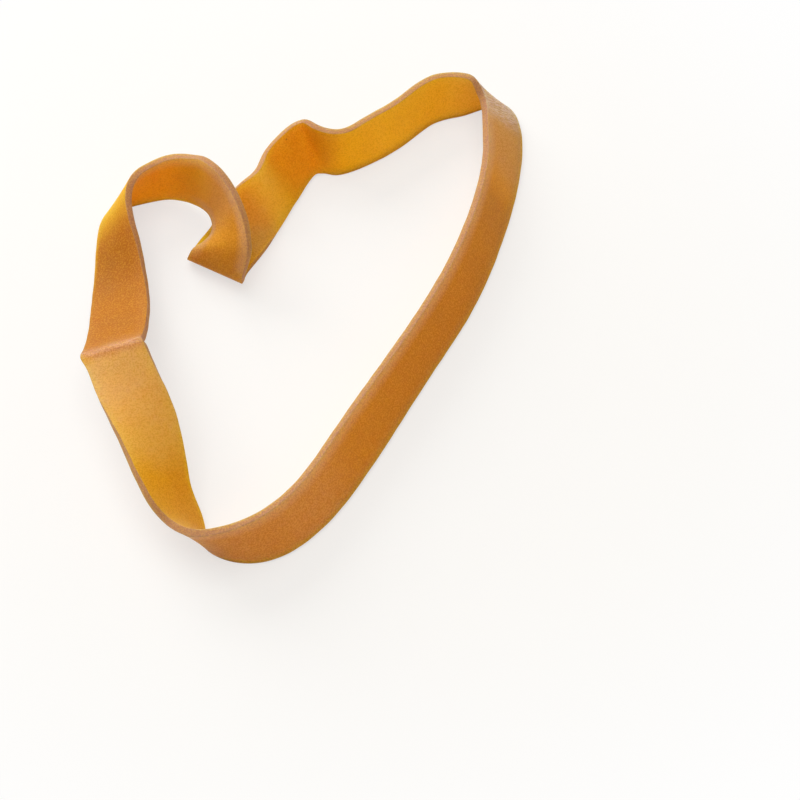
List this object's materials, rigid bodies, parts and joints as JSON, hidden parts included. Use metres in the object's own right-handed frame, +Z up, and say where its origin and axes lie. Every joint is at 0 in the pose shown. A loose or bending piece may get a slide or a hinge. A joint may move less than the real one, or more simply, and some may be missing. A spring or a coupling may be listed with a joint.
{
  "type": "rubber band",
  "caption": "Wide flat rubber band lying open and slack: one loop on edge with a creased arch at one side and a curl that folds under itself.",
  "frame": {"origin": "on the bench under the middle of the band's bounding box", "axes": "+Z up; +Y away from the viewer along the loop's longest extent; +X to the viewer's right"},
  "size_m": [0.0452, 0.058, 0.0098],
  "materials": {
    "amber_rubber": "matt, slightly translucent natural rubber with a dusty bloom"
  },
  "bodies": {
    "root": {"rubber_band": "amber_rubber"}
  },
  "joints": []
}
